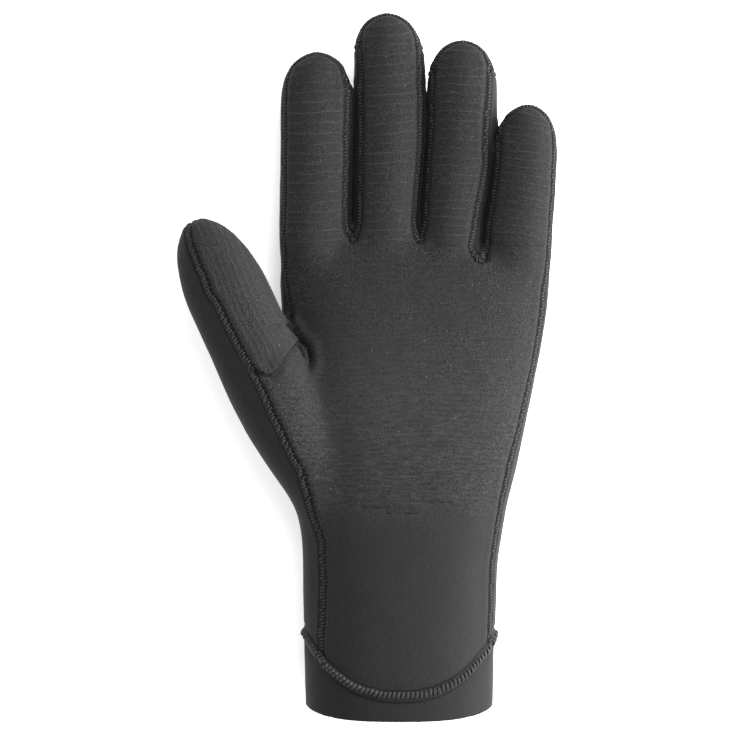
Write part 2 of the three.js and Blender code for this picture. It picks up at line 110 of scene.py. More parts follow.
world = bpy.data.worlds.new("white_room")
world.use_nodes = True
world.node_tree.nodes["Background"].inputs["Color"].default_value = (1, 1, 1, 1)
world.node_tree.nodes["Background"].inputs["Strength"].default_value = 1.0
bpy.context.scene.world = world
bpy.context.scene.view_settings.view_transform = "Standard"


def soft_panel(name, place, aim, watts):
    light_data = bpy.data.lights.new(name, "AREA")
    light_data.shape = "RECTANGLE"
    light_data.size, light_data.size_y = PANEL_SIZE
    light_data.energy = watts
    light = bpy.data.objects.new(name, light_data)
    light.location = place
    light.rotation_euler = (Vector(aim) - Vector(place)).to_track_quat("-Z", "Y").to_euler()
    bpy.context.scene.collection.objects.link(light)


soft_panel("panel_on_the_right", place=(1.0, 0.05, 0.34), aim=(0, 0.02, 0.02), watts=42)
soft_panel("panel_above", place=(0.35, 0.45, 1.2), aim=(0, 0.02, 0), watts=12)

# %% [markdown]
# The slits. On the real glove the fingers touch each other, and the cloth between two of them is a deep
# dark slit. A straight line that starts inside one finger and runs sideways meets that finger's wall, the
# slit and the next finger's wall. The slit's place and width are measured that way, row by row. In the
# measured glove a wall has two faces, the lining and the outside.

# %% Find the slits between the fingers
FORK = 70 * MM
FINGER_MIDDLES = np.array((-32, -4, 23, 46)) * MM
SLIT_TOPS = np.array((128.6, 126.4, 110.8)) * MM
HALF_HEIGHT = 15 * MM
ROW_STEP = 1.5 * MM
FACES_OF_WALL = 2
FACES_OF_SKIN = 1


def hill(distance, width):
    return np.exp(-((distance / width) ** 2))


def ramp(value, start, end):
    t = np.clip((value - start) / (end - start), 0, 1)
    return t * t * (3 - 2 * t)


def surface_of(meshes):
    spots, faces, owners = [], [], []
    for index, (places, polygons) in enumerate(meshes):
        faces += [[len(spots) + i for i in p] for p in polygons]
        owners += [index] * len(polygons)
        spots += [tuple(place) for place in places]
    return BVHTree.FromPolygons(spots, faces), owners


def slit_walls(surface, finger, wall_faces):
    rows = []
    for y in np.arange(FORK + 3 * MM, SLIT_TOPS[finger] + 7 * MM, ROW_STEP):
        crossings, start = [], FINGER_MIDDLES[finger]
        while len(crossings) < wall_faces + 1:
            reach = FINGER_MIDDLES[finger + 1] - start
            hit = surface.ray_cast((start, y, HALF_HEIGHT), (1, 0, 0), reach)[0]
            if hit is None:
                break
            crossings.append(hit.x)
            start = hit.x + 0.01 * MM
        if len(crossings) == wall_faces + 1:
            left, right = crossings[-2:]
            rows.append((y, (left + right) / 2, right - left))
    return np.array(rows)


panel_shapes = []
for name in panels:
    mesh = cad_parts[name].data
    panel_shapes.append(([v.co for v in mesh.vertices], [list(p.vertices) for p in mesh.polygons]))
measured_surface, _ = surface_of(panel_shapes)
slits = [slit_walls(measured_surface, finger, FACES_OF_WALL) for finger in range(3)]
for rows in slits:
    print("slit of %.1f to %.1f mm" % (rows[:, 2].min() / MM, rows[:, 2].max() / MM))

# %% [markdown]
# Parting. The same function pulls the fingers apart and brings them together again. Each side of a slit
# moves by the row's own amount, less with the distance from the slit, and not at all below the fork.
# Near its bottom a slit never closes past its middle, or the round end of the seam would fold over.

# %% Move the sides of the slits
SLIT_SEATS = (FORK + 4 * MM, FORK + 4 * MM, FORK - 1 * MM)
PARTING_REACH = 10 * MM
LEFT_OPEN = 0.85
FREE_TO_CROSS = 9


def parting(places, widening):
    shift = np.zeros(len(places))
    level = places[:, 1]
    for rows, amounts, seat in zip(slits, widening, SLIT_SEATS):
        aside = places[:, 0] - np.interp(level, rows[:, 0], rows[:, 1])
        amount = np.interp(level, rows[:, 0], amounts) * ramp(level, FORK - 2 * MM, FORK + 4 * MM)
        half = np.interp(level, rows[:, 0], rows[:, 2]) / 2
        move = amount * np.minimum(np.abs(aside) / half, 1) * hill(aside, PARTING_REACH)
        limit = LEFT_OPEN + FREE_TO_CROSS * ramp(level, seat, seat + 4 * MM)
        shift += np.sign(aside) * np.maximum(move, -limit * np.abs(aside))
    return shift


# %% [markdown]
# The skin. The real glove is pulled smooth by the foam, so its facets must go, but the seams have to
# stay where they are. All panels are copied, grown by a hair so that they touch, and melted together
# with a voxel Remesh. The fingers are held a little apart for this, or the small squares of the skin
# would bridge the slits between them. The mouth is cut open again with a bisect, which leaves the
# outside and the lining as two loose shells. Only the outside is kept: the wall gets its thickness later.

# %% Melt copies of the panels into one skin
VOXEL = 1.0 * MM
TOUCH = 0.16 * MM
OPENING = 1.3 * MM


def pick(*objects):
    deselect_all()
    for obj in objects:
        obj.select_set(True)
    bpy.context.view_layer.objects.active = objects[-1]


def edit(obj):
    pick(obj)
    bpy.ops.object.mode_set(mode="EDIT")
    bpy.ops.mesh.select_mode(type="VERT")
    bpy.ops.mesh.select_all(action="SELECT")


def apply_modifier(obj, kind, **settings):
    pick(obj)
    modifier = obj.modifiers.new(kind.lower(), kind)
    for name, value in settings.items():
        setattr(modifier, name, value)
    bpy.ops.object.modifier_apply(modifier=modifier.name)


copies, panel_shapes = [], []
for name in panels:
    copy = bpy.data.objects.new(f"copy_of_{name}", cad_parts[name].data.copy())
    bpy.context.scene.collection.objects.link(copy)
    edit(copy)
    bpy.ops.mesh.remove_doubles(threshold=0.001 * MM)
    bpy.ops.object.mode_set(mode="OBJECT")
    parted_points = np.array([v.co for v in copy.data.vertices])
    parted_points[:, 0] += parting(parted_points, [np.full(len(rows), OPENING) for rows in slits])
    copy.data.vertices.foreach_set("co", parted_points.ravel())
    panel_shapes.append((parted_points, [list(p.vertices) for p in copy.data.polygons]))
    apply_modifier(copy, "DISPLACE", strength=TOUCH, mid_level=0)
    copies.append(copy)
pick(*copies)
bpy.ops.object.join()
skin = bpy.context.object
apply_modifier(skin, "REMESH", mode="VOXEL", voxel_size=VOXEL)
print("melted skin:", len(skin.data.polygons), "faces")

# %% Cut the mouth open and keep the outside
MOUTH_TRIM = 0.7 * MM
MERGE_SHARE = 0.3
rim = np.array([v.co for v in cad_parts["cuff_band"].data.vertices])
floor_rim = rim[rim[:, 2] < 1 * MM][:, 1].min()
top_rim = rim[:, 1].min()
top_height = rim[rim[:, 1].argmin(), 2]
mouth_slope = (floor_rim - top_rim) / top_height
edit(skin)
bpy.ops.mesh.bisect(
    plane_co=(0, floor_rim + MOUTH_TRIM, 0), plane_no=(0, 1, mouth_slope), clear_inner=True
)
bpy.ops.mesh.remove_doubles(threshold=MERGE_SHARE * VOXEL)
bpy.ops.mesh.select_all(action="SELECT")
bpy.ops.mesh.separate(type="LOOSE")
bpy.ops.object.mode_set(mode="OBJECT")
shells = sorted(bpy.context.selected_objects, key=lambda o: o.dimensions.x * o.dimensions.z)
skin = shells[-1]
for shell in shells[:-1]:
    bpy.data.objects.remove(shell)
euler_number = len(skin.data.vertices) - len(skin.data.edges) + len(skin.data.polygons)
print("outside of the glove:", len(skin.data.polygons), "faces")
print("one sheet open at the mouth:", euler_number == 1)

# %% [markdown]
# Which panel is which. Every face of the skin belongs to the panel of the measured glove that lies
# nearest. A few rounds of voting between neighbours then take the teeth out of the borders.

# %% Give every face of the skin to a panel
def mesh_arrays(obj):
    mesh = obj.data
    points = np.empty(len(mesh.vertices) * 3)
    mesh.vertices.foreach_get("co", points)
    edges = np.empty(len(mesh.edges) * 2, int)
    mesh.edges.foreach_get("vertices", edges)
    corners = np.empty(len(mesh.loops), int)
    mesh.loops.foreach_get("vertex_index", corners)
    starts = np.empty(len(mesh.polygons), int)
    mesh.polygons.foreach_get("loop_start", starts)
    totals = np.empty(len(mesh.polygons), int)
    mesh.polygons.foreach_get("loop_total", totals)
    owner = np.repeat(np.arange(len(totals)), totals)
    return points.reshape(-1, 3), edges.reshape(-1, 2), corners, owner, totals


points, edges, corners, owner, totals = mesh_arrays(skin)
parted_surface, face_panel = surface_of(panel_shapes)
centres = np.stack([np.bincount(owner, points[corners, k]) for k in range(3)], 1) / totals[:, None]
label = np.array([face_panel[parted_surface.find_nearest(c)[2]] for c in centres])


def vote(label, rounds):
    for _ in range(rounds):
        ballots = np.zeros((len(points), len(panels)))
        np.add.at(ballots, (corners, label[owner]), 1)
        sums = np.stack([np.bincount(owner, ballots[corners, k]) for k in range(len(panels))], 1)
        label = sums.argmax(1)
    return label


label = vote(label, 4)

# %% [markdown]
# Three borders are redrawn, because the real seams run differently from the straight edges of the
# measured panels. The thumb panel ends in a rounded point, low in the middle and higher at its sides.
# The seam along the thumb follows a gentle bow. Over the fingertips the seam sits where the cloth turns
# down. The thumb's borders are drawn in its own directions, across it and down from its tip.

# %% Redraw the borders of the thumb panel
THUMB_TIP = np.array((-78.4, 78.6)) * MM
THUMB_LEAN = math.radians(25.2)
HEM_ACROSS = np.array((-9.0, -3.7, -2.1, 0.0, 0.9, 2.7, 8.8, 15.3)) * MM
HEM_BELOW_TIP = np.array((57.0, 59.7, 61.7, 64.9, 66.2, 66.5, 62.8, 59.0)) * MM
SEAM_BELOW_TIP = np.array((-3.0, 0.0, 3.9, 8.2, 19.0, 29.0, 39.0, 49.0)) * MM
SEAM_ACROSS = np.array((-0.9, -1.7, -2.6, -4.0, -4.6, -4.7, -4.1, -3.7)) * MM
HEM_MIDDLE, HEM_REACH = 62 * MM, 14 * MM
HEM_LEFT, HEM_RIGHT = -9 * MM, 16 * MM
HEM_LOWEST = 22 * MM
SEAM_END, SEAM_REACH = 49 * MM, 8 * MM
SEAM_RIGHTMOST, SEAM_LOWEST = -50 * MM, 21 * MM


def thumb_place(xy):
    across = (xy - THUMB_TIP) @ (math.cos(THUMB_LEAN), math.sin(THUMB_LEAN))
    below = (THUMB_TIP - xy) @ (-math.sin(THUMB_LEAN), math.cos(THUMB_LEAN))
    return across, below


across, below = thumb_place(centres[:, :2])
near_hem = (np.abs(below - HEM_MIDDLE) < HEM_REACH) & (across > HEM_LEFT) & (across < HEM_RIGHT)
near_hem &= (centres[:, 2] > HEM_LOWEST) & (label != panels.index("back_panel"))
hem = np.interp(across, HEM_ACROSS, HEM_BELOW_TIP)
label[near_hem & (below > hem)] = panels.index("palm_panel")
label[near_hem & (below <= hem)] = panels.index("thumb_panel")
seam_side = across - np.interp(below, SEAM_BELOW_TIP, SEAM_ACROSS)
near_seam = (below < SEAM_END) & (np.abs(seam_side) < SEAM_REACH)
near_seam &= (centres[:, 0] < SEAM_RIGHTMOST) & (centres[:, 2] > SEAM_LOWEST)
label[near_seam & (seam_side < 0)] = panels.index("back_panel")
label[near_seam & (seam_side >= 0)] = panels.index("thumb_panel")

# %% Redraw the seams over the fingertips
TIP_SEAM_TILT = 0.42
TIP_REACH = 9 * MM


def finger_of(places):
    passed = [places[:, 0] > np.interp(places[:, 1], rows[:, 0], rows[:, 1]) for rows in slits]
    return np.sum(passed, 0)


face_finger = finger_of(centres)
finger_ends = np.array([centres[face_finger == k, 1].max() for k in range(4)])
face_normals = np.empty(len(totals) * 3)
skin.data.polygon_normals.foreach_get("vector", face_normals)
face_normals = face_normals.reshape(-1, 3)
over_tip = finger_ends[face_finger] - centres[:, 1] < TIP_REACH
over_tip &= label == panels.index("palm_panel")
label[over_tip & (face_normals[:, 2] < TIP_SEAM_TILT)] = panels.index("back_panel")
label = vote(label, 3)
print("faces per panel:", {n: int((label == i).sum()) for i, n in enumerate(panels)})

# %% [markdown]
# Fairing. The skin is a grid of small squares that still follows the facets. It is relaxed like a thin
# springy plate: each point stays near its place while the bending between neighbours is made small.
# That keeps the round of every finger, where plain smoothing would shrink it. Borders between panels
# are tightened a little as strings, so they run in clean lines.

# %% Relax the skin like a thin plate
PLATE_REACH = 3.6 * MM
STRING_PULL = 6.0
MOUTH_HOLD = 1e4
ROUNDS = 220


def neighbour_table(edges, count, weights):
    ends = np.concatenate([edges, edges[:, ::-1]])
    heavy = np.concatenate([weights, weights])
    order = np.argsort(ends[:, 0], kind="stable")
    ends, heavy = ends[order], heavy[order]
    valence = np.bincount(ends[:, 0], minlength=count)
    slot_of = np.arange(len(ends)) - np.repeat(np.cumsum(valence) - valence, valence)
    table = np.tile(np.arange(count)[:, None], (1, max(1, valence.max())))
    weight = np.zeros(table.shape)
    table[ends[:, 0], slot_of] = ends[:, 1]
    weight[ends[:, 0], slot_of] = heavy
    return table, weight


def bend(values, table, weight):
    return values * weight.sum(1)[:, None] - np.einsum("ij,ijk->ik", weight, values[table])


def relax(points, plate, string, stiffness, pull, held):
    def stretched(x):
        return held * x + stiffness * bend(bend(x, *plate), *plate) + pull * bend(x, *string)

    scale = held + stiffness * (plate[1].sum(1) ** 2 + (plate[1] ** 2).sum(1))[:, None]
    scale = scale + pull * string[1].sum(1)[:, None]
    x = points.copy()
    rest = held * points - stretched(x)
    step = rest / scale
    energy = (rest * step).sum(0)
    for _ in range(ROUNDS):
        push = stretched(step)
        size = energy / np.maximum((step * push).sum(0), 1e-30)
        x += size * step
        rest -= size * push
        easy = rest / scale
        fresh = (rest * easy).sum(0)
        step = easy + step * (fresh / np.maximum(energy, 1e-30))
        energy = fresh
    return x


def face_pairs(edges, label):
    starts = np.cumsum(totals) - totals
    loops = np.arange(len(corners))
    last = starts[owner] + totals[owner] - 1
    following = np.where(loops == last, starts[owner], loops + 1)
    a, b = corners, corners[following]
    code = np.minimum(a, b) * len(points) + np.maximum(a, b)
    edge_code = edges.min(1) * len(points) + edges.max(1)
    order = np.argsort(edge_code)
    edge_of = order[np.searchsorted(edge_code[order], code)]
    low = np.full(len(edges), len(panels))
    high = np.full(len(edges), -1)
    np.minimum.at(low, edge_of, label[owner])
    np.maximum.at(high, edge_of, label[owner])
    count = np.bincount(edge_of, minlength=len(edges))
    return low, high, count


low, high, face_count = face_pairs(edges, label)
border = (low != high) | (face_count == 1)
plate = neighbour_table(edges, len(points), np.ones(len(edges)))
string = neighbour_table(edges[border], len(points), np.ones(border.sum()))
mouth = np.zeros(len(points), bool)
mouth[edges[face_count == 1].ravel()] = True
held = np.ones((len(points), 3))
held[mouth, 1] = MOUTH_HOLD
relaxed = relax(points, plate, string, (PLATE_REACH / VOXEL) ** 4, STRING_PULL, held)
print("moved by up to %.2f mm" % (np.linalg.norm(relaxed - points, axis=1).max() / MM))
points = relaxed

# %% [markdown]
# Closing. The fingers go back together. The slits are measured again on the relaxed skin, where a wall
# has one face, and each side moves in by half the slit's width and a little more, so that the soft
# fingers press on each other and no light falls through.

# %% Close the slits again
OVERLAP = 0.7 * MM
ROWS_BESIDE = 2
skin_faces = np.split(corners, np.cumsum(totals)[:-1])
relaxed_surface, _ = surface_of([(points, [f.tolist() for f in skin_faces])])
slits = [slit_walls(relaxed_surface, finger, FACES_OF_SKIN) for finger in range(3)]
closing = []
for finger, rows in enumerate(slits):
    width = np.pad(rows[:, 2], ROWS_BESIDE, mode="edge")
    width = np.max([width[k:k + len(rows)] for k in range(2 * ROWS_BESIDE + 1)], 0)
    shut = np.maximum((OVERLAP + width) / 2, OPENING)
    under_top = ramp(SLIT_TOPS[finger] + ROW_STEP - rows[:, 0], 0, 3 * MM)
    closing.append(-OPENING - (shut - OPENING) * under_top)
    print("slit of %.1f to %.1f mm closed" % (rows[:, 2].min() / MM, rows[:, 2].max() / MM))
points[:, 0] += parting(points, closing)

# %% [markdown]
# Seam lines. The borders are walked from end to end, so that stitches can be set along them at an even
# pitch. The long front seam joins the palm and thumb panels to the back of the hand and to the strips
# between the fingers. The others are the seams on the backs of the fingers, the cuff seam and the
# short seam below the thumb panel.

# %% Walk the seams
FRONT = [panels.index(n) for n in ("palm_panel", "thumb_panel")]
BACK = panels.index("back_panel")
CUFF = panels.index("cuff_band")
STRIPS = [i for i, n in enumerate(panels) if n.startswith("fourchette")]
SAMPLE = 0.3 * MM
SHORTEST_SEAM = 6 * MM


def walk(chosen):
    links = {}
    for a, b in edges[chosen]:
        links.setdefault(a, []).append(b)
        links.setdefault(b, []).append(a)
    unused = {tuple(sorted(e)) for e in edges[chosen]}
    chains = []
    ends = sorted(links, key=lambda v: len(links[v]) == 2)
    for start in ends:
        for first in links[start]:
            if tuple(sorted((start, first))) not in unused:
                continue
            chain, here, there = [start], start, first
            while there is not None:
                unused.discard(tuple(sorted((here, there))))
                chain.append(there)
                here, onward = there, None
                if len(links[here]) == 2:
                    for option in links[here]:
                        if tuple(sorted((here, option))) in unused:
                            onward = option
                there = onward
            chains.append(chain)
    return chains


def evenly(line, spacing, soften=8):
    line = line.copy()
    closed = np.linalg.norm(line[0] - line[-1]) < 1e-9
    for _ in range(soften):
        if closed:
            body = line[:-1]
            body = 0.5 * body + 0.25 * (np.roll(body, 1, 0) + np.roll(body, -1, 0))
            line = np.vstack([body, body[:1]])
        else:
            line[1:-1] = 0.5 * line[1:-1] + 0.25 * (line[:-2] + line[2:])
    run = np.concatenate([[0], np.cumsum(np.linalg.norm(np.diff(line, axis=0), axis=1))])
    count = max(2, round(run[-1] / spacing))
    at = np.linspace(0, run[-1], count + 1)
    return np.stack([np.interp(at, run, line[:, k]) for k in range(3)], 1), at


in_front = np.isin(low, FRONT) | np.isin(high, FRONT)
both_front = np.isin(low, FRONT) & np.isin(high, FRONT)
at_cuff = (low == CUFF) | (high == CUFF)
at_strip = np.isin(low, STRIPS) | np.isin(high, STRIPS)
parted = low != high
seam_kinds = {
    "front": parted & in_front & ~both_front & ~at_cuff,
    "cuff": parted & at_cuff & (face_count == 2),
    "back": parted & at_strip & ~in_front & ~at_cuff,
    "thumb_hem": parted & both_front,
}
seams = {}
for kind, chosen in seam_kinds.items():
    lines = [evenly(points[chain], SAMPLE) for chain in walk(chosen)]
    seams[kind] = [line for line in lines if line[1][-1] > SHORTEST_SEAM]
    print(kind, "seam:", [round(line[1][-1] / MM) for line in seams[kind]], "mm")

# %% [markdown]
# Distances. Every point of the skin learns how far it lies from each kind of seam and how far along it.
# Relief and colour both follow these distances.

# %% Measure every point of the skin against the seams
def nearest_on(lines):
    total = sum(len(line) for line, _ in lines)
    tree = KDTree(total)
    along = np.empty(total)
    n = 0
    for line, at in lines:
        for p, s in zip(line, at):
            tree.insert(p, n)
            along[n] = s
            n += 1
    tree.balance()
    found = [tree.find(p) for p in points]
    return np.array([f[2] for f in found]), along[[f[1] for f in found]]


away, along = {}, {}
for kind, lines in seams.items():
    away[kind], along[kind] = nearest_on(lines)

# %% [markdown]
# Relief. The skin now gets the shapes that the cloth has: a valley where two panels are sewn edge to
# edge with the foam swelling beside it, the grip ribs across the fingers and along the thumb, the fold
# where the thumb leaves the palm, and the slight unevenness of soft foam. Each is a height along the
# surface's own direction, and all are added up before the points move once.

# %% Directions, and the unevenness of soft foam
PUFF = 0.1 * MM
WIDE_DIPS, WIDE_DIP_SCALE = 0.3 * MM, 28
SMALL_DIPS, SMALL_DIP_SCALE = 0.15 * MM, 90


def facing(points):
    mesh = skin.data
    mesh.vertices.foreach_set("co", points.ravel())
    mesh.update()
    normals = np.empty(len(points) * 3)
    mesh.vertex_normals.foreach_get("vector", normals)
    return normals.reshape(-1, 3)


def uneven(scale, seed):
    return np.array([noise.noise(Vector(p) * scale + Vector((seed, 2 * seed, 0))) for p in points])


normals = facing(points)
x, y, z = points.T
relief = np.full(len(points), -TOUCH + PUFF)
relief += WIDE_DIPS * uneven(WIDE_DIP_SCALE, 1) + SMALL_DIPS * uneven(SMALL_DIP_SCALE, 2)

# %% Valleys and swellings along the seams
VALLEY_DEPTHS = {"front": 0.6 * MM, "back": 0.45 * MM}
VALLEY_WIDTH = 0.9 * MM
SWELLING_AT, SWELLING_WIDTH = 2.6 * MM, 1.6 * MM
CUFF_RIDGE, CUFF_RIDGE_WIDTH = 0.6 * MM, 1.5 * MM
CUFF_GROOVE, CUFF_GROOVE_WIDTH = 0.4 * MM, 0.8 * MM
for kind, depth in VALLEY_DEPTHS.items():
    relief -= depth * hill(away[kind], VALLEY_WIDTH)
    relief += 0.5 * depth * hill(away[kind] - SWELLING_AT, SWELLING_WIDTH)
relief += CUFF_RIDGE * hill(away["cuff"], CUFF_RIDGE_WIDTH)
relief -= CUFF_GROOVE * hill(away["cuff"] - SWELLING_AT, CUFF_GROOVE_WIDTH)

# %% [markdown]
# Grip ribs. The palm cloth is embossed with ribs. Across the fingers they are 2.9 to 3.7 mm apart and
# slightly wavy, along the front of the thumb they run lengthwise, and over the palm they are finer and
# fainter until they stop above the wrist. A rib's running number and strength are kept for the cloth's
# colour, which follows the same lines.

# %% Number the ribs
FINGER_PITCHES = np.array((3.7, 3.7, 3.3, 2.9)) * MM
RIB_SLOPES = np.array((0.055, 0.06, -0.03, -0.16))
RIB_CURVES = np.array((5.0, 5.0, -2.0, -3.0))
PALM_PITCH = 2.0 * MM
THUMB_PITCH = 2.3 * MM
FINGER_RIBS_FROM = 70 * MM
PALM_RIBS_FROM = -33 * MM
PALM_BOW, PALM_BOW_MIDDLE = 0.8, 18 * MM
THUMB_SPREAD = 1.5
PALM_STRENGTH, THUMB_STRENGTH = 0.35, 0.8
RIB_HEIGHT = 0.14 * MM
palm_label = panels.index("palm_panel")
thumb_label = panels.index("thumb_panel")


def on_panel(index):
    share = np.zeros(len(points))
    np.add.at(share, corners, (label == index)[owner])
    return share / np.maximum(np.bincount(corners, minlength=len(points)), 1)


palm_share, thumb_share = on_panel(palm_label), on_panel(thumb_label)
wobble = uneven(35, 3)
ripple = uneven(140, 4)
finger = finger_of(points)
u = x - FINGER_MIDDLES[finger]
lie = RIB_SLOPES[finger] * u + RIB_CURVES[finger] * u * u
rib_line = (y - lie + 1.0 * MM * wobble + 0.6 * MM * ripple) / FINGER_PITCHES[finger]
palm_bow = PALM_BOW * (x - PALM_BOW_MIDDLE) ** 2
palm_line = (y + palm_bow + 1.8 * MM * wobble + 0.5 * MM * ripple) / PALM_PITCH
across_thumb, below_tip = thumb_place(points[:, :2])
spread = across_thumb * (1 + THUMB_SPREAD * below_tip)
thumb_line = (spread + 1.6 * MM * wobble + 0.5 * MM * ripple) / THUMB_PITCH
on_fingers = ramp(y, FINGER_RIBS_FROM - 6 * MM, FINGER_RIBS_FROM + 4 * MM)
on_palm = ramp(y, PALM_RIBS_FROM - 4 * MM, PALM_RIBS_FROM + 3 * MM) * (1 - on_fingers)
clear_of_seam = ramp(away["front"], 1.6 * MM, 3.2 * MM)
on_thumb = thumb_share > 0.5
grip = np.where(on_thumb, thumb_line, np.where(on_fingers > 0.5, rib_line, palm_line))
strength = on_fingers * palm_share + PALM_STRENGTH * on_palm * palm_share
strength = np.where(on_thumb, THUMB_STRENGTH, strength) * clear_of_seam
relief += RIB_HEIGHT * strength * np.cos(2 * math.pi * grip)

# %% [markdown]
# Folds and marks. A deep fold and a short one beside it run where the thumb leaves the palm, and the
# grip ends above the wrist in three broken lines. Each is a path seen from above. A point of the skin
# sinks or swells by its distance from the path, and the fold fades towards its ends.

# %% Folds where the thumb leaves the palm, and the last engraved lines of the palm
END_MARKS = [
    np.array([(-15.1, -29.2), (-12.5, -29.9), (-10.0, -29.3), (-7.3, -29.7)]) * MM,
    np.array([(-5.7, -31.2), (-1.0, -32.0), (3.5, -31.6), (8.7, -32.4)]) * MM,
    np.array([(7.9, -27.1), (12.5, -27.6), (17.0, -27.3), (22.1, -28.3)]) * MM,
]
MAIN_FOLD = np.array(
    [(-43.3, 40.8), (-38.9, 34.7), (-34.6, 30.1), (-33.6, 25.6), (-34.6, 21.4), (-35.7, 15.5)]
) * MM
SHORT_FOLD = np.array([(-39.4, 33.0), (-37.4, 29.5), (-36.0, 26.0), (-35.6, 22.9)]) * MM
MAIN_FOLD_DEPTH, SHORT_FOLD_DEPTH, FOLD_SWELLING = 1.3 * MM, 1.2 * MM, 0.9 * MM
MARK_DEPTH = 0.15 * MM
OUT_OF_REACH = 9 * MM


def beside(path, reach):
    best = np.full(len(points), np.inf)
    share = np.zeros(len(points))
    total = len(path) - 1
    for k in range(total):
        a, b = path[k], path[k + 1]
        t = np.clip((points[:, :2] - a) @ (b - a) / ((b - a) @ (b - a)), 0, 1)
        gap = points[:, :2] - a - t[:, None] * (b - a)
        d = np.hypot(*gap.T)
        closer = d < best
        best = np.where(closer, d, best)
        share = np.where(closer, (k + t) / total, share)
    fade = ramp(share, -0.001, reach) * ramp(1 - share, 0, 0.45)
    up = ramp(normals[:, 2], 0.0, 0.3) * ramp(points[:, 2], 14 * MM, 18 * MM)
    return best, fade * up


fold, fold_fade = beside(MAIN_FOLD, 0.05)
relief -= MAIN_FOLD_DEPTH * fold_fade * hill(fold, 0.8 * MM)
relief += FOLD_SWELLING * fold_fade * hill(fold - 2.6 * MM, 1.8 * MM)
crimp, crimp_fade = beside(SHORT_FOLD, 0.2)
relief -= SHORT_FOLD_DEPTH * crimp_fade * hill(crimp, 0.7 * MM)
fold_away = np.minimum(fold + 4 * MM * (1 - fold_fade), crimp + 4 * MM * (1 - crimp_fade))
mark_away = np.min([beside(mark, 0.01)[0] for mark in END_MARKS], 0)
mark_away += OUT_OF_REACH * (normals[:, 2] < 0)
relief -= MARK_DEPTH * hill(mark_away, 0.8 * MM)

# %% The step below the thumb panel and the ridge over the fingertips
HEM_RAISED, HEM_SUNK = 0.55 * MM, 0.7 * MM
TIP_RIDGE, TIP_RIDGE_WIDTH = 0.6 * MM, 2.4 * MM
from_hem = away["thumb_hem"] - 0.6 * MM
relief += on_thumb * HEM_RAISED * hill(from_hem, 1.8 * MM)
relief -= ~on_thumb * HEM_SUNK * hill(from_hem, 1.1 * MM)
tip_share = ramp(TIP_REACH - (finger_ends[finger] - y), 0, 6 * MM) * ramp(normals[:, 1], 0.2, 0.6)
relief += tip_share * TIP_RIDGE * (1 - palm_share) * hill(away["front"], TIP_RIDGE_WIDTH)

# %% [markdown]
# The move. Everything is applied at once. The mouth's edge is drawn back at its two corners, as the
# picture shows it, and no point goes below the table or past the measured mouth.

# %% Move the skin
CORNER_BACK, MIDDLE_OUT = 2.4 * MM, 0.6 * MM
points = points + normals * relief[:, None]
cuff_middle, cuff_half = (rim[:, 0].max() + rim[:, 0].min()) / 2, np.ptp(rim[:, 0]) / 2
corner = np.clip(np.abs(x - cuff_middle) / cuff_half, 0, 1) ** 4
points[:, 1] += ramp(-y, 92 * MM, 108 * MM) * (CORNER_BACK * corner - MIDDLE_OUT)
points[:, 1:] = np.maximum(points[:, 1:], (top_rim - 0.3 * MM, 0.05 * MM))
normals = facing(points)
print("relief from %.2f to %.2f mm" % (relief.min() / MM, relief.max() / MM))

# %% [markdown]
# Panels again. The skin keeps its distances and ribs as attributes for the colour. It is then parted
# along its borders into the real panels, and each gets the 3 mm wall of the neoprene with a Solidify
# modifier that grows inwards.

# %% Note down what the colour needs
worn = hill(x + 14 * MM, 38 * MM) * hill(y - 4 * MM, 32 * MM)
for name, values in {
    "grip": grip,
    "grip_strength": strength,
    "front_away": away["front"],
    "front_along": along["front"],
    "back_away": away["back"],
    "cuff_away": away["cuff"],
    "hem_away": away["thumb_hem"],
    "fold_away": fold_away,
    "mark_away": mark_away,
    "nap": np.maximum(thumb_share, palm_share * ramp(y, -48 * MM, -20 * MM) * (1 - 0.25 * on_fingers)),
    "faded": 0.3 * thumb_share + palm_share * ramp(x, -36 * MM, -24 * MM) * worn,
    "engraved": palm_share * ramp(y, -38 * MM, -20 * MM) * ramp(-y, -60 * MM, 20 * MM),
}.items():
    attribute = skin.data.attributes.new(name, "FLOAT", "POINT")
    attribute.data.foreach_set("value", values.astype(np.float32))

# %% Part the skin and give the panels their wall
WALL = 3.0 * MM
EDGE_ANGLE = math.radians(50)
skin.data.materials.clear()
for name in panels:
    skin.data.materials.append(bpy.data.materials.new(f"cloth_of_{name}"))
skin.data.polygons.foreach_set("material_index", label.astype(np.int32))
edit(skin)
bpy.ops.mesh.separate(type="MATERIAL")
bpy.ops.object.mode_set(mode="OBJECT")
cloth = {}
for piece in list(bpy.context.selected_objects):
    name = piece.data.materials[piece.data.polygons[0].material_index].name.removeprefix("cloth_of_")
    piece.name = f"{name}_cloth"
    cloth[name] = piece
for name, piece in cloth.items():
    piece.data.materials.clear()
    apply_modifier(
        piece, "SOLIDIFY", thickness=WALL, offset=-1, use_rim=True, use_even_offset=False
    )
    pick(piece)
    bpy.ops.object.shade_smooth_by_angle(angle=EDGE_ANGLE)
    print(piece.name, len(piece.data.polygons), "faces")

# %% [markdown]
# Thread. One stitch is a short arched length of thread. It is modelled once, as a rod along X of length
# one, and then bent over the seam again and again. Each stitch starts in the cloth on one side of the
# seam, slants across it and ends in the cloth on the other side.

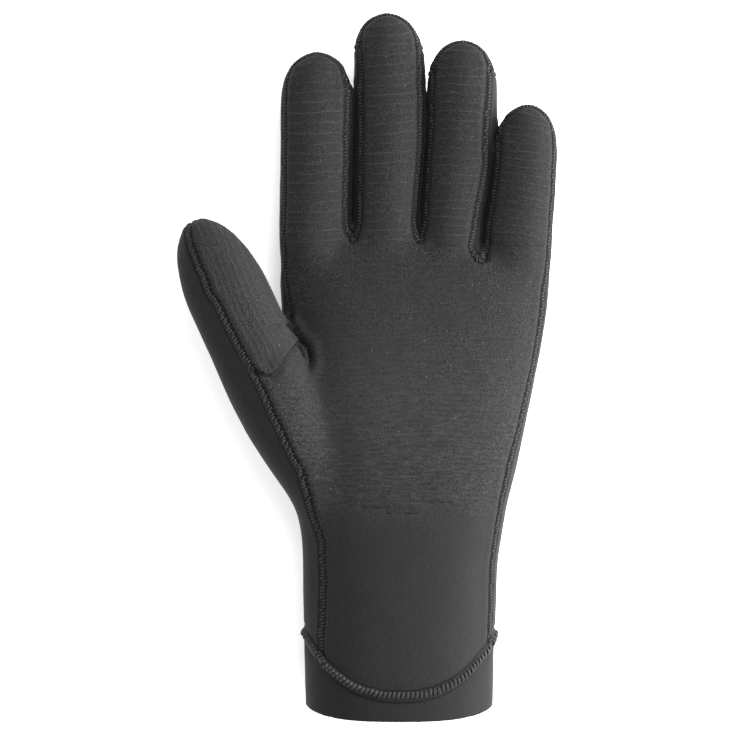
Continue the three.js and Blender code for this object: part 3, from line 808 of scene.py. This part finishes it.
# %% Model one stitch
def one_stitch(radius, sides=5, rings=6):
    deselect_all()
    bpy.ops.mesh.primitive_cylinder_add(
        vertices=sides, radius=radius, depth=1, end_fill_type="TRIFAN", rotation=(0, math.pi / 2, 0)
    )
    stitch = bpy.context.object
    bpy.ops.object.transform_apply(location=False, rotation=True, scale=False)
    for k in range(1, rings):
        edit(stitch)
        bpy.ops.mesh.bisect(plane_co=(k / rings - 0.5, 0, 0), plane_no=(1, 0, 0))
        bpy.ops.object.mode_set(mode="OBJECT")
    made, faces = mesh_arrays(stitch)[0], [list(p.vertices) for p in stitch.data.polygons]
    bpy.data.objects.remove(stitch)
    return made, faces


# %% Sew the seams
END_GAP = 1.0 * MM
FRONT_PROBE = 1.5 * MM
ABOVE_TABLE = 0.03 * MM
THREAD_ANGLE = math.radians(60)
outer_surface, _ = surface_of([(points, [f.tolist() for f in skin_faces])])


def on_surface(place, lift):
    spot, normal, _, _ = outer_surface.find_nearest(place)
    return np.array(spot) + lift * np.array(normal), np.array(normal)


def sew(name, lines, pitch, half_width, radius, height, slant, offset=0):
    template, template_faces = one_stitch(radius)
    verts, faces = [], []
    for line, at in lines:
        sewn = at[-1] - 2 * END_GAP
        count = max(1, round(sewn / pitch))
        for k in range(count):
            s = END_GAP + (k + 0.5) * sewn / count
            here = np.array([np.interp(s, at, line[:, i]) for i in range(3)])
            ahead = np.array([np.interp(min(s + MM, at[-1]), at, line[:, i]) for i in range(3)])
            behind = np.array([np.interp(max(s - MM, 0), at, line[:, i]) for i in range(3)])
            spot, normal = on_surface(here, 0)
            tangent = ahead - behind
            tangent /= np.linalg.norm(tangent)
            side = np.cross(normal, tangent)
            side /= np.linalg.norm(side)
            if offset:
                beside_seam = outer_surface.find_nearest(spot + side * FRONT_PROBE)[2]
                side = -side if label[beside_seam] in FRONT else side
                spot, normal = on_surface(spot + side * offset, 0)
            reach = side * half_width + tangent * slant
            start, _ = on_surface(spot - reach, -0.5 * radius)
            end, _ = on_surface(spot + reach, -0.5 * radius)
            chord = end - start
            sideways = np.cross(normal, chord / np.linalg.norm(chord))
            t = template[:, 0] + 0.5
            arch = height * np.sin(math.pi * np.clip(t, 0, 1)) ** 0.7
            middle = start + t[:, None] * chord + arch[:, None] * normal
            body = middle + template[:, 1:2] * sideways + template[:, 2:3] * normal
            body[:, 2] = np.maximum(body[:, 2], ABOVE_TABLE)
            faces += [[len(verts) + i for i in f] for f in template_faces]
            verts += body.tolist()
    mesh = bpy.data.meshes.new(name)
    mesh.from_pydata(verts, [], faces)
    piece = bpy.data.objects.new(name, mesh)
    bpy.context.scene.collection.objects.link(piece)
    edit(piece)
    bpy.ops.mesh.normals_make_consistent(inside=False)
    bpy.ops.object.mode_set(mode="OBJECT")
    bpy.ops.object.shade_smooth_by_angle(angle=THREAD_ANGLE)
    print(name, len(mesh.polygons), "faces")
    return piece


front_thread = sew(
    "front_seam_thread", seams["front"], pitch=1.2 * MM, half_width=0.9 * MM, radius=0.36 * MM,
    height=0.5 * MM, slant=0.35 * MM, offset=0.9 * MM,
)
back_thread = sew(
    "back_seam_thread", seams["back"], pitch=1.2 * MM, half_width=0.9 * MM, radius=0.34 * MM,
    height=0.45 * MM, slant=0.35 * MM,
)
cuff_thread = sew(
    "cuff_seam_thread", seams["cuff"], pitch=1.7 * MM, half_width=1.6 * MM, radius=0.68 * MM,
    height=0.9 * MM, slant=0.5 * MM,
)

# %% [markdown]
# Cloth. Neoprene panels are faced with a fine jersey knit. The finish is built from the object's own
# coordinates: a fine mottling for the loops of the knit, wider clouds of wear, and the ribs and needle
# holes from the attributes made above. The class below only shortens the making of nodes.

# %% A short way to write a finish
def socket(node, name, value):
    node.inputs[name].default_value = value


class Finish:
    def __init__(self, name):
        self.material = bpy.data.materials.new(name)
        self.material.use_nodes = True
        self.tree = self.material.node_tree
        self.shader = self.tree.nodes["Principled BSDF"]
        self.place = self.add("ShaderNodeTexCoord").outputs["Object"]

    def add(self, kind, **settings):
        node = self.tree.nodes.new(kind)
        for name, value in settings.items():
            setattr(node, name, value)
        return node

    def feed(self, target, value):
        if isinstance(value, (int, float, tuple)):
            target.default_value = value
        else:
            self.tree.links.new(value, target)

    def sum(self, operation, *values):
        node = self.add("ShaderNodeMath", operation=operation)
        for target, value in zip(node.inputs, values):
            self.feed(target, value)
        return node.outputs[0]

    def attribute(self, name):
        return self.add("ShaderNodeAttribute", attribute_name=name).outputs["Fac"]

    def clouds(self, scale, detail=2.0, roughness=0.5, stretch=(1, 1, 1)):
        mapping = self.add("ShaderNodeMapping")
        self.feed(mapping.inputs["Vector"], self.place)
        socket(mapping, "Scale", stretch)
        texture = self.add("ShaderNodeTexNoise")
        self.feed(texture.inputs["Vector"], mapping.outputs["Vector"])
        socket(texture, "Scale", scale)
        socket(texture, "Detail", detail)
        socket(texture, "Roughness", roughness)
        return texture.outputs["Fac"]

    def blend(self, share, first, second):
        node = self.add("ShaderNodeMix", data_type="RGBA")
        self.feed(node.inputs[0], share)
        self.feed(node.inputs[6], first)
        self.feed(node.inputs[7], second)
        return node.outputs[2]

    def between(self, value, low, high):
        node = self.add("ShaderNodeMapRange", interpolation_type="SMOOTHSTEP")
        self.feed(node.inputs["Value"], value)
        socket(node, "From Min", low)
        socket(node, "From Max", high)
        return node.outputs["Result"]

    def raised(self, height, distance):
        node = self.add("ShaderNodeBump")
        socket(node, "Distance", distance)
        socket(node, "Strength", 1.0)
        self.feed(node.inputs["Height"], height)
        self.tree.links.new(node.outputs["Normal"], self.shader.inputs["Normal"])


def grey(level):
    return (level, level, level * 1.03, 1)


# %% [markdown]
# The palm's print. On top of the knit the palm cloth has worn, fluffy patches, ribs with a painted
# highlight along their crests that breaks off here and there, short streaks that fade towards the wrist,
# painted shade in the grooves between the ribs there, a few specks of lint, the broken engraved lines
# that end the grip with painted shade in them, and painted shade at the bottom of the folds. They are
# laid over each other in that order.

# %% Print the palm cloth and paint light and shade on it
BLACK = 0.002


def palm_print_and_painted_light(cloth, shade, colour, height):
    def times(*values):
        return cloth.sum("MULTIPLY", *values)

    def cover(share, strength, level):
        return cloth.blend(times(share, strength), colour, grey(level))

    loops = cloth.clouds(1700, 1.0, 0.6)
    nap = cloth.attribute("nap")
    patches = cloth.between(cloth.clouds(110, 2.0), 0.3, 0.62)
    napped = times(nap, cloth.sum("ADD", times(patches, 0.6), 0.4))
    fluff = cloth.blend(cloth.between(loops, 0.4, 0.64), grey(shade * 0.55), grey(shade * 2.1))
    colour = cloth.blend(times(napped, 0.85), colour, fluff)
    height = cloth.sum("ADD", height, times(loops, times(napped, 1.5)))
    colour = cover(cloth.attribute("faded"), 0.5, shade * 2.3)

    # Painted highlight: a pale line along each rib's crest, broken here and there, stands in for the
    # light that the crests catch.
    rib = cloth.sum("PINGPONG", cloth.attribute("grip"), 0.5)
    broken = cloth.between(cloth.clouds(400, 2.0, 0.6, (0.4, 1, 1)), 0.35, 0.6)
    thin = times(times(cloth.between(rib, 0.14, 0.02), cloth.attribute("grip_strength")), broken)
    colour = cover(thin, 0.5, shade * 3.0)
    height = cloth.sum("ADD", height, times(thin, 0.8))

    streaks = cloth.clouds(1100, 1.0, 0.6, (0.2, 1, 1))
    engraved = cloth.attribute("engraved")
    colour = cover(times(engraved, cloth.between(streaks, 0.52, 0.68)), 0.3, shade * 4)
    # Painted shade: above the wrist the grooves between the ribs are darkened, broken up by the streaks.
    groove = times(cloth.between(rib, 0.36, 0.47), cloth.between(streaks, 0.5, 0.38))
    colour = cover(times(groove, engraved), 0.6, 1.5 * BLACK)

    specks = cloth.between(cloth.clouds(1500, 0.0), 0.81, 0.87)
    colour = cover(specks, nap, shade * 7)
    # Painted shade: the three shallow engraved lines that end the grip are painted near black, as shade
    # in their grooves.
    mark = cloth.between(cloth.attribute("mark_away"), 0.5 * MM, 0.15 * MM)
    colour = cover(mark, cloth.between(cloth.clouds(400, 1.0), 0.4, 0.5), BLACK)
    # Painted shade: the bottom of the folds where the thumb leaves the palm is painted near black.
    fold = cloth.between(cloth.attribute("fold_away"), 1.1 * MM, 0.2 * MM)
    colour = cover(fold, 0.9, BLACK)
    return colour, height


# %% [markdown]
# Shade at the seams. Light hardly reaches the valley beside a seam. On the palm cloth that is a row of
# dark needle holes over a soft dark line, on the plain cloth a thin line beside the stitches.

# %% Darken the cloth beside the seams
HOLE_PITCH = 1.9 * MM
HOLE_ROW = 0.9 * MM
SHADE_LINE_AT = {"front_away": 2.1 * MM, "back_away": 1.3 * MM, "cuff_away": 2.1 * MM}


def shade_line(cloth, attribute, start, end):
    off_line = cloth.sum("SUBTRACT", cloth.attribute(attribute), SHADE_LINE_AT[attribute])
    return cloth.between(cloth.sum("ABSOLUTE", off_line), start, end)


def needle_hole_shade(cloth):
    front_away = cloth.attribute("front_away")
    row = cloth.sum("ABSOLUTE", cloth.sum("SUBTRACT", front_away, HOLE_ROW))
    step = cloth.sum("PINGPONG", cloth.attribute("front_along"), HOLE_PITCH / 2)
    row = cloth.sum("MULTIPLY", row, 1 / (0.8 * MM))
    step = cloth.sum("MULTIPLY", step, 1 / (0.9 * MM))
    holes = cloth.between(cloth.sum("ADD", row, step), 1.1, 0.6)
    line = cloth.between(front_away, 1.3 * MM, 0.5 * MM)
    return cloth.sum("MAXIMUM", holes, cloth.sum("MULTIPLY", line, 0.6))


def plain_seam_shade(cloth):
    lines = [shade_line(cloth, name, 0.6 * MM, 0.15 * MM) for name in ("front_away", "back_away")]
    return cloth.sum("MAXIMUM", *lines)


# %% [markdown]
# Dressing. The palm and thumb panels share the printed cloth, the back and the strips between the
# fingers have the plain one, and the cuff is a shade darker. All thread is black.

# %% Dress the panels
def neoprene(name, shade, ribs=False):
    cloth = Finish(name)
    knit = cloth.clouds(2000, 1.0, 0.6, (1, 0.22, 0.22))
    colour = cloth.blend(cloth.between(knit, 0.3, 0.7), grey(shade * 0.88), grey(shade * 1.12))
    height = cloth.sum("MULTIPLY", knit, 0.4)
    if ribs:
        colour, height = palm_print_and_painted_light(cloth, shade, colour, height)
    # Painted shade: the cloth is darkened beside the seams, along the groove beside the cuff seam and
    # along the sunk step below the thumb panel.
    dark = needle_hole_shade(cloth) if ribs else plain_seam_shade(cloth)
    dark = cloth.sum("MAXIMUM", dark, shade_line(cloth, "cuff_away", 0.5 * MM, 0.1 * MM))
    colour = cloth.blend(cloth.sum("MULTIPLY", dark, 0.85), colour, grey(0.5 * BLACK))
    hem = cloth.between(cloth.attribute("hem_away"), 0.9 * MM, 0.2 * MM)
    colour = cloth.blend(cloth.sum("MULTIPLY", hem, 0.85), colour, grey(BLACK))
    cloth.tree.links.new(colour, cloth.shader.inputs["Base Color"])
    cloth.raised(height, 0.2 * MM)
    socket(cloth.shader, "Roughness", 0.75)
    socket(cloth.shader, "Specular IOR Level", 0.12)
    socket(cloth.shader, "Sheen Weight", 0.02)
    socket(cloth.shader, "Sheen Roughness", 0.5)
    return cloth.material


def thread_finish(name, shade):
    thread = Finish(name)
    strands = thread.clouds(2500, 1.0)
    colour = thread.blend(thread.between(strands, 0.3, 0.7), grey(shade * 0.7), grey(shade * 1.3))
    thread.tree.links.new(colour, thread.shader.inputs["Base Color"])
    thread.raised(strands, 0.1 * MM)
    socket(thread.shader, "Roughness", 0.6)
    socket(thread.shader, "Specular IOR Level", 0.3)
    return thread.material


palm_finish = neoprene("palm_neoprene_cloth", 0.011, ribs=True)
back_finish = neoprene("back_neoprene_cloth", 0.010)
cuff_finish = neoprene("cuff_neoprene_cloth", 0.009)
finishes = {"palm_panel": palm_finish, "thumb_panel": palm_finish, "cuff_band": cuff_finish}
for name, piece in cloth.items():
    piece.data.materials.append(finishes.get(name, back_finish))
    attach(piece, "root")
    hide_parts(name)
thread_black = thread_finish("black_thread", 0.014)
for piece in (front_thread, back_thread, cuff_thread):
    piece.data.materials.append(thread_black)
    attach(piece, "root")
